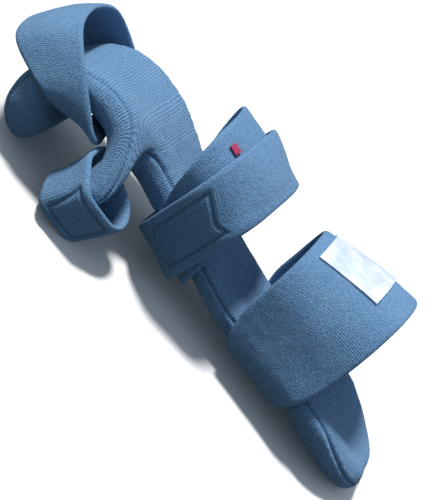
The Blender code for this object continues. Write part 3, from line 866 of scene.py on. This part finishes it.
def across_places(half_width, count):
    """Shares across a strap, from -1 to 1, close together at its rounded edges."""
    turn = np.linspace(0, math.pi / 2, EDGE_STEPS + 1)[:-1]
    edge = EDGE_ROLL * (1 - np.cos(turn)) / half_width
    middle = np.linspace(-1 + EDGE_ROLL / half_width, 1 - EDGE_ROLL / half_width, count)
    return np.concatenate([-1 + edge, middle, (1 - edge)[::-1]])


def strap_piece(name, node, grid, material, relief, sides=0.0):
    """A strap with rounded edges; relief(run, across, length) gives its height and its seams."""
    rails = 25
    even = fine_grid(grid, STRAP_FINE, rails)
    normal = outward(even)
    middle = even[rails // 2]
    steps = np.linalg.norm(np.roll(middle, -1, axis=0) - middle, axis=1)
    run = np.concatenate([[0.0], np.cumsum(steps)])
    half = 0.5 * np.linalg.norm(np.diff(even, axis=0), axis=2).sum(axis=0)
    wide = float(half.mean())
    outer, inner = across_places(wide, OUTER_STEPS), across_places(wide, INNER_STEPS)[::-1]
    shares = np.concatenate([outer, inner[1:-1]])
    out_count = len(outer)
    even_shares = np.linspace(-1, 1, rails)
    face = np.empty((len(shares), STRAP_FINE, 3))
    up = np.empty_like(face)
    for axis in range(3):
        for step in range(STRAP_FINE):
            face[:, step, axis] = np.interp(shares, even_shares, even[:, step, axis])
            up[:, step, axis] = np.interp(shares, even_shares, normal[:, step, axis])
    from_edge = (1 - np.abs(shares))[:, None] * half[None, :]
    bow = np.clip(from_edge / EDGE_ROLL, 0, 1)
    swell = np.sqrt(1 - (1 - bow) ** 2)
    sign = np.where(np.arange(len(shares)) < out_count, 1.0, -1.0)[:, None]
    height = STRAP_THICK / 2 * (1 + sign * swell)
    across = shares[:, None] * half[None, :]
    runs = np.broadcast_to(run[:-1][None, :], across.shape)
    lift, seams = relief(runs, across, run[-1], half[None, :])
    flat = face.reshape(-1, 3)
    loose = 0.22 * MM * lumps(flat, 14 * MM, 5) + 0.10 * MM * lumps(flat, 5 * MM, 6)
    outside = np.clip(sign, 0, 1) * swell
    height = height + outside * (lift + loose.reshape(across.shape))
    points = settled((face + up * height[..., None]).reshape(-1, 3))
    count = len(shares)
    faces, knit = [], []
    for i in range(count):
        k = (i + 1) % count
        for j in range(STRAP_FINE):
            m = (j + 1) % STRAP_FINE
            faces.append((i * STRAP_FINE + j, i * STRAP_FINE + m, k * STRAP_FINE + m, k * STRAP_FINE + j))
            end = run[j + 1]
            knit += [
                (run[j], across[i, j], seams[i, j] * outside[i, j]),
                (end, across[i, m], seams[i, m] * outside[i, m]),
                (end, across[k, m], seams[k, m] * outside[k, m]),
                (run[j], across[k, j], seams[k, j] * outside[k, j]),
            ]
    piece = add_piece(name, points, faces, knit, material, [node])
    fix_faces(piece)
    return even, normal, run, half


def fix_faces(piece):
    """Turns the faces outward, when the piece's volume says that they face in."""
    solid = bmesh.new()
    solid.from_mesh(piece.data)
    if solid.calc_volume(signed=True) < 0:
        bmesh.ops.reverse_faces(solid, faces=solid.faces)
        solid.to_mesh(piece.data)
    solid.free()


def plain_relief(runs, across, length, half):
    return np.zeros(runs.shape), np.zeros(runs.shape)


def box_distance(runs, across, box):
    """Distance to the outline of a box (run, run, across, across)."""
    left, right, low, high = box
    dx = np.maximum(left - runs, runs - right)
    dy = np.maximum(low - across, across - high)
    outside = np.hypot(np.maximum(dx, 0), np.maximum(dy, 0))
    return np.abs(outside + np.minimum(np.maximum(dx, dy), 0))


def stitched(*boxes):
    """Relief of boxes of stitching that pull the cloth in."""

    def relief(runs, across, length, half):
        lift = np.zeros(runs.shape)
        seams = np.zeros(runs.shape)
        for start, end, low, high in boxes:
            box = (start * length, end * length, low, high)
            away = box_distance(runs, across, box)
            lift -= 0.85 * MM * np.exp(-((away / (0.85 * MM)) ** 2))
            lift += 0.15 * MM * np.exp(-(((away - 2.4 * MM) / (1.2 * MM)) ** 2))
            seams = np.maximum(seams, np.exp(-((away / (0.6 * MM)) ** 2)))
        return lift, seams

    return relief


def build_looks():
    knit = terry("terry_blue_knit", 1.25 * MM, 0.8)
    fleece = terry("terry_blue_fleece", 1.05 * MM, 0.45)
    steps = board_piece(knit)
    cage, rings = board_cage()
    add_flap(cage, rings)
    board = guide_solid(cage)
    lift = STRAP_GAP + STRAP_SLACK
    hollow, thumb_hollow = hollow_solid(), thumb_hollow_solid(steps)
    wide = (1.3 * PAD_HALF_WIDTH, 1.2 * PAD_THICK, 2 * FOREARM_HEIGHT)
    bent = (1.1 * PAD_HALF_WIDTH, 0.95 * PAD_THICK, 2 * FINGER_HEIGHT + PAD_THICK)
    planes = band_planes(FOREARM_STRAP_PLACE, FOREARM_STRAP_WIDTH, FOREARM_STRAP_TILT, wide)
    forearm = band_grid((board, hollow), planes, lift, FOREARM_STRAP_SHARES)
    strap_piece("forearm_wrap", "forearm_strap", forearm, fleece, plain_relief)
    planes = band_planes(
        HAND_STRAP_PLACE, HAND_STRAP_WIDTH, UNDER_STRAP_TILT, wide, UNDER_STRAP_YAW
    )
    under_grid = band_grid(
        (board, hollow), planes, STRAP_GAP + UNDER_STRAP_SLACK, UNDER_STRAP_SHARES
    )
    under = band_solid(under_grid, STRAP_THICK)
    strap_piece("hand_wrap_under", "hand_strap_under", under_grid, fleece, plain_relief)
    planes = band_planes(HAND_STRAP_PLACE, HAND_STRAP_WIDTH, OVER_STRAP_TILT, wide)
    over = band_grid((board, hollow, under), planes, lift + 3 * STRAP_GAP)
    box = stitched((0.20, 0.36, -11 * MM, 11 * MM))
    strap_piece("hand_wrap_over", "hand_strap_over", over, fleece, box)
    planes = fan_planes(
        FINGER_STRAP_PLACE,
        FINGER_STRAP_WIDTH,
        FINGER_STRAP_HEADING,
        FINGER_STRAP_FAN,
        bent,
        FINGER_STRAP_YAW,
    )
    fingers = band_grid(
        (board, hollow), planes, STRAP_GAP + FINGER_STRAP_SLACK, FINGER_STRAP_SHARES
    )
    strap_piece("finger_wrap", "finger_strap", fingers, fleece, plain_relief)
    thumbs = band_grid((board, thumb_hollow), thumb_planes(steps), lift)
    box = stitched((0.08, 0.31, -10 * MM, 10 * MM))
    strap_piece("thumb_wrap", "thumb_strap", thumbs, fleece, box)
    for name, slot, material in (("label", "label_satin", satin()), ("red_tab", "tag_red", ribbon())):
        bpy.data.objects[name].material_slots[0].material = material


def guide_solid(cage):
    """The board as coarse as its solid, for the straps to lie on."""
    bmesh.ops.delete(cage, geom=[v for v in cage.verts if not v.link_faces], context="VERTS")
    bmesh.ops.recalc_face_normals(cage, faces=cage.faces)
    mesh = bpy.data.meshes.new("board_guide")
    cage.to_mesh(mesh)
    cage.free()
    guide = bpy.data.objects.new("board_guide", mesh)
    bpy.context.scene.collection.objects.link(guide)
    rounding = guide.modifiers.new("rounding", "SUBSURF")
    rounding.levels = rounding.render_levels = 2
    graph = bpy.context.evaluated_depsgraph_get()
    solid = bpy.data.meshes.new_from_object(guide.evaluated_get(graph))
    bpy.data.objects.remove(guide)
    return solid_copy(solid)


# The studio

CAMERA_AXES = Matrix(
    (
        (0.668262779712677, -0.7434883713722229, -0.025490188971161842),
        (0.32925310730934143, 0.32631784677505493, -0.8860637545585632),
        (0.6670960187911987, 0.5837306976318359, 0.4628620445728302),
    )
)
CAMERA_PLACE = Vector((-0.013651498593389988, -0.7038852572441101, 0.4016720950603485))
CAMERA_LENS = 115.2


def studio():
    scene = bpy.context.scene
    data = bpy.data.cameras.new("camera")
    data.lens = CAMERA_LENS
    data.sensor_width = 36.0
    data.clip_start = 0.01
    camera = bpy.data.objects.new("camera", data)
    camera.matrix_world = Matrix.Translation(CAMERA_PLACE) @ CAMERA_AXES.to_4x4()
    scene.collection.objects.link(camera)
    scene.camera = camera
    right, up, back = (CAMERA_AXES.col[i] for i in range(3))
    sun = bpy.data.lights.new("sun", "SUN")
    sun.energy = 4.0
    sun.angle = math.radians(9)
    sun.color = (1.0, 0.985, 0.96)
    lamp = bpy.data.objects.new("sun", sun)
    lamp.rotation_euler = (up * 0.85 + back * 0.42 + right * 0.30).to_track_quat("Z", "Y").to_euler()
    scene.collection.objects.link(lamp)
    world = bpy.data.worlds.new("studio")
    world.use_nodes = True
    sky = world.node_tree
    direction = sky.nodes.new("ShaderNodeTexCoord").outputs["Generated"]
    split = sky.nodes.new("ShaderNodeSeparateXYZ")
    sky.links.new(direction, split.inputs[0])
    height = sky.nodes.new("ShaderNodeMapRange")
    height.inputs["From Min"].default_value = -0.25
    height.inputs["From Max"].default_value = 0.35
    sky.links.new(split.outputs["Z"], height.inputs["Value"])
    blend = sky.nodes.new("ShaderNodeMix")
    blend.data_type = "RGBA"
    sky.links.new(height.outputs["Result"], blend.inputs[0])
    blend.inputs[6].default_value = (0.055, 0.075, 0.070, 1.0)
    blend.inputs[7].default_value = (0.34, 0.40, 0.47, 1.0)
    background = sky.nodes["Background"]
    sky.links.new(blend.outputs[2], background.inputs["Color"])
    background.inputs["Strength"].default_value = 1.0
    scene.world = world
    scene.view_settings.view_transform = "Standard"
    floor = bmesh.new()
    size = 6.0
    corners = [floor.verts.new((x, y, -0.2 * MM)) for x, y in ((-size, -size), (size, -size), (size, size), (-size, size))]
    floor.faces.new(corners)
    mesh = bpy.data.meshes.new("floor")
    floor.to_mesh(mesh)
    floor.free()
    ground = bpy.data.objects.new("floor", mesh)
    scene.collection.objects.link(ground)
    tree = Nodes("floor_paper")
    grain = tree.noise(tree.place(), 400.0, 3.0)
    colour = tree.mix(tree.ramp(grain, 0.3, 0.7), (0.84, 0.84, 0.84, 1.0), (0.88, 0.88, 0.88, 1.0))
    tree.link(colour, tree.shader.inputs["Base Color"])
    tree.shader.inputs["Roughness"].default_value = 0.9
    mesh.materials.append(tree.material)
    ground.visible_diffuse = False


build_looks()
studio()
